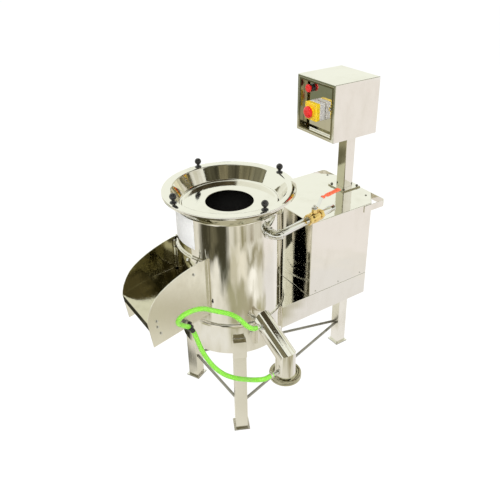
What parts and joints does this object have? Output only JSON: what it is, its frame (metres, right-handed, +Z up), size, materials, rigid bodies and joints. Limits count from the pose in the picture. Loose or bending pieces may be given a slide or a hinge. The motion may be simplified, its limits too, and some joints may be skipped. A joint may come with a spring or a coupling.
{
  "type": "potato peeling machine",
  "caption": "Floor-standing drum peeler in polished stainless steel: turntable, hopper ring, discharge chute, motor housing, control box, water inlet and drain, on legs.",
  "frame": {"origin": "on the floor under the middle of the machine's outline, the free hose left out", "axes": "+Z up; +X from the discharge chute past the drum to the motor housing; +Y to the side away from the water inlet and drain"},
  "size_m": [1.0396, 0.6416, 1.3055],
  "materials": {
    "polished_stainless": "mirror polished stainless sheet",
    "satin_stainless": "satin square tube and plate",
    "chrome": "bright plated fittings",
    "brass": "machined, slightly dull",
    "black_plastic": "moulded",
    "abrasive": "coarse bonded grit",
    "cast_iron": "machined casting",
    "rubber": "moulded",
    "motor_paint": "satin enamel",
    "grey_plastic": "moulded",
    "yellow_plastic": "moulded",
    "red_plastic": "moulded",
    "green_hose": "soft glossy hose",
    "dark_rod": "dark round bar"
  },
  "bodies": {
    "frame": {"drum_shell": "polished_stainless", "base_ring": "polished_stainless", "abrasive_lining": "abrasive", "bearing_housing": "cast_iron", "drive_belt": "rubber", "motor_body": "motor_paint", "chassis": "polished_stainless", "motor_cover": "polished_stainless", "strip_near": "polished_stainless", "strip_far": "polished_stainless", "post_plate": "satin_stainless", "control_post": "satin_stainless", "control_box": "polished_stainless", "control_panel": "polished_stainless", "stop_base": "grey_plastic", "stop_cover": "yellow_plastic", "button_bezel": "black_plastic", "inlet_stub": "chrome", "inlet_elbow": "chrome", "inlet_run": "chrome", "inlet_tail": "chrome", "valve_body": "brass", "drain_pipe": "polished_stainless", "drain_collar": "polished_stainless", "spigot_top": "chrome", "spigot_end": "chrome", "rinse_hose": "green_hose", "hose_clip": "black_plastic", "chute_panel_near": "polished_stainless", "chute_panel_far": "polished_stainless", "chute_floor": "polished_stainless", "outlet_frame": "polished_stainless", "hinge_pin": "chrome", "leg_near": "satin_stainless", "foot_near": "satin_stainless", "leg_far": "satin_stainless", "foot_far": "satin_stainless", "leg_rear": "satin_stainless", "foot_rear": "satin_stainless", "brace_near_far": "dark_rod", "brace_near_rear": "dark_rod", "brace_far_rear": "dark_rod"},
    "table": {"turntable": "abrasive", "main_shaft": "chrome", "driven_pulley": "cast_iron"},
    "motor_rotor": {"drive_pulley": "cast_iron"},
    "hopper_ring": {"hopper": "polished_stainless"},
    "knob_back": {"knob_back": "black_plastic"},
    "knob_left": {"knob_left": "black_plastic"},
    "knob_front": {"knob_front": "black_plastic"},
    "knob_right": {"knob_right": "black_plastic"},
    "door": {"discharge_door": "polished_stainless"},
    "latch": {"door_latch": "chrome"},
    "lever": {"valve_lever": "chrome", "lever_grip": "red_plastic"},
    "stop_head": {"stop_button": "red_plastic"},
    "start_head": {"push_button": "red_plastic"},
    "clip_screw": {"clip_knob": "black_plastic"}
  },
  "joints": [
    {"name": "table_spin", "type": "hinge", "parent": "frame", "child": "table", "pos_m": [-0.10569, 0.07478, 0.64], "axis": [0, 0, 1], "continuous": true},
    {"name": "motor_spin", "type": "hinge", "parent": "frame", "child": "motor_rotor", "pos_m": [0.30431, 0.07478, 0.4245], "axis": [0, 0, 1], "continuous": true},
    {"name": "hopper_lift", "type": "slide", "parent": "frame", "child": "hopper_ring", "axis": [0, 0, 1], "range_m": [0, 0.12]},
    {"name": "knob_back_turn", "type": "hinge", "parent": "hopper_ring", "child": "knob_back", "pos_m": [0.12181, 0.07478, 0.9768], "axis": [0, 0, 1], "continuous": true},
    {"name": "knob_left_turn", "type": "hinge", "parent": "hopper_ring", "child": "knob_left", "pos_m": [-0.10569, 0.30228, 0.9768], "axis": [0, 0, 1], "continuous": true},
    {"name": "knob_front_turn", "type": "hinge", "parent": "hopper_ring", "child": "knob_front", "pos_m": [-0.33319, 0.07478, 0.9768], "axis": [0, 0, 1], "continuous": true},
    {"name": "knob_right_turn", "type": "hinge", "parent": "hopper_ring", "child": "knob_right", "pos_m": [-0.10569, -0.15272, 0.9768], "axis": [0, 0, 1], "continuous": true},
    {"name": "door_swing", "type": "hinge", "parent": "frame", "child": "door", "pos_m": [-0.2949, 0.17369, 0.651], "axis": [0, 0, -1], "range_deg": [0, 64]},
    {"name": "latch_turn", "type": "hinge", "parent": "door", "child": "latch", "pos_m": [-0.30226, 0.00709, 0.735], "axis": [-0.9455, -0.3256, 0], "range_deg": [0, 90]},
    {"name": "valve_turn", "type": "hinge", "parent": "frame", "child": "lever", "pos_m": [0.13692, -0.12348, 0.864], "axis": [0, 0, -1], "range_deg": [0, 90]},
    {"name": "stop_press", "type": "slide", "parent": "frame", "child": "stop_head", "axis": [1, 0, 0], "range_m": [0, 0.005]},
    {"name": "start_press", "type": "slide", "parent": "frame", "child": "start_head", "axis": [1, 0, 0], "range_m": [0, 0.0035], "stiffness_N_per_m": 300},
    {"name": "clip_knob_turn", "type": "hinge", "parent": "frame", "child": "clip_screw", "pos_m": [-0.36639, -0.06202, 0.5313], "axis": [0, -1, 0], "continuous": true}
  ],
  "couplings": [
    {"joint": "motor_spin", "follows": "table_spin", "ratio": 4}
  ]
}
